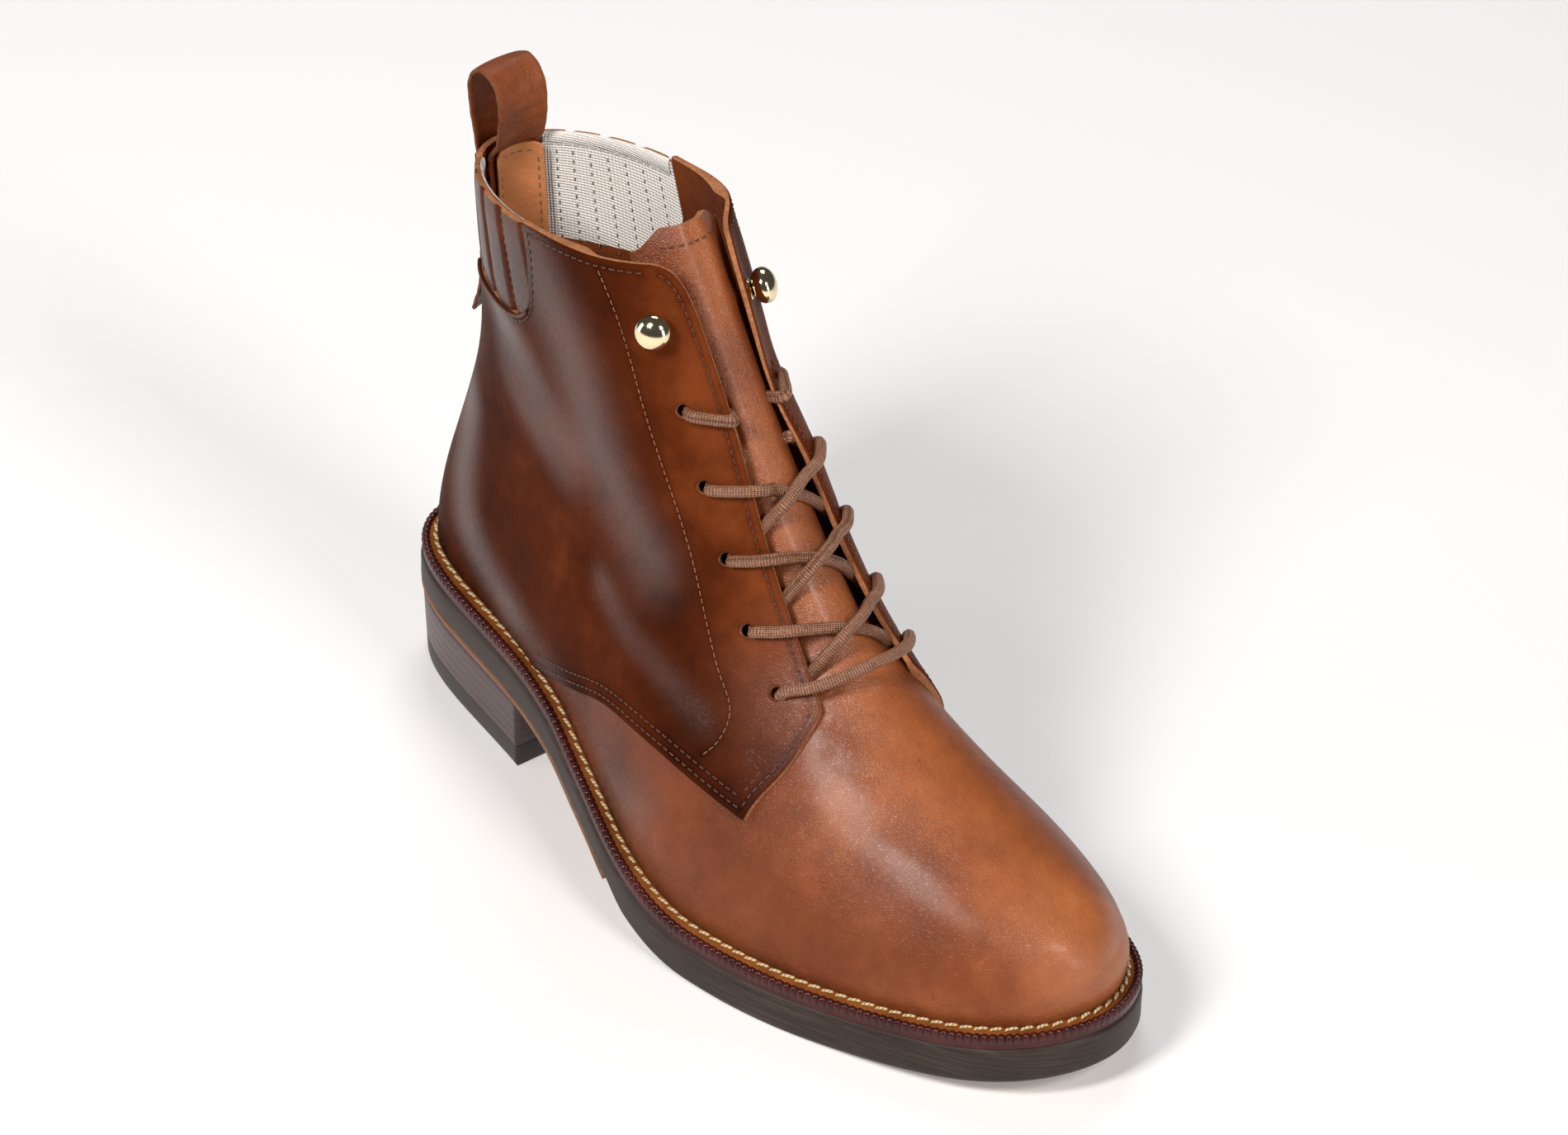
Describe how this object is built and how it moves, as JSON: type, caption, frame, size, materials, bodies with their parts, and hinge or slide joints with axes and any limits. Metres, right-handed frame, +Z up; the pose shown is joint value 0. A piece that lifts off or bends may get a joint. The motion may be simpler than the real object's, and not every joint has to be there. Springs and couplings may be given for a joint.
{
  "type": "lace up ankle boot",
  "caption": "Right ankle boot in brown leather: lace up facings, elastic gores, pull loop at the back, welted leather sole with a ribbed bead and a low block heel",
  "frame": {"origin": "middle of the bounding box on the floor the boot stands on", "axes": "+X toe, +Y the wearer's left, which is this right boot's inner side, +Z up"},
  "size_m": [0.2734, 0.0996, 0.1938],
  "materials": {
    "upper_leather": "satin",
    "lining": "matte",
    "sole_edge": "satin",
    "waist_leather": "satin",
    "heel_leather": "satin",
    "rubber": "matte",
    "welt_leather": "satin",
    "bead": "gloss",
    "lace": "satin",
    "eyelet": "gloss",
    "gold": "polished"
  },
  "bodies": {
    "root": {"outsole": "sole_edge", "waist_sole": "waist_leather", "heel_stack": "heel_leather", "heel_top_piece": "rubber", "welt": "welt_leather", "welt_bead": "bead", "insole": "lining", "upper": "upper_leather", "tongue": "upper_leather", "gore_lateral": "upper_leather", "gore_medial": "upper_leather", "pull_loop": "upper_leather", "eyelet_lateral_1": "eyelet", "eyelet_lateral_2": "eyelet", "eyelet_lateral_3": "eyelet", "eyelet_lateral_4": "eyelet", "eyelet_lateral_5": "eyelet", "eyelet_medial_1": "eyelet", "eyelet_medial_2": "eyelet", "eyelet_medial_3": "eyelet", "eyelet_medial_4": "eyelet", "eyelet_medial_5": "eyelet", "stud_lateral": "gold", "stud_medial": "gold", "lace_bar": "lace", "lace_crossing_1": "lace", "lace_crossing_2": "lace", "lace_crossing_3": "lace", "lace_crossing_4": "lace"}
  },
  "joints": []
}
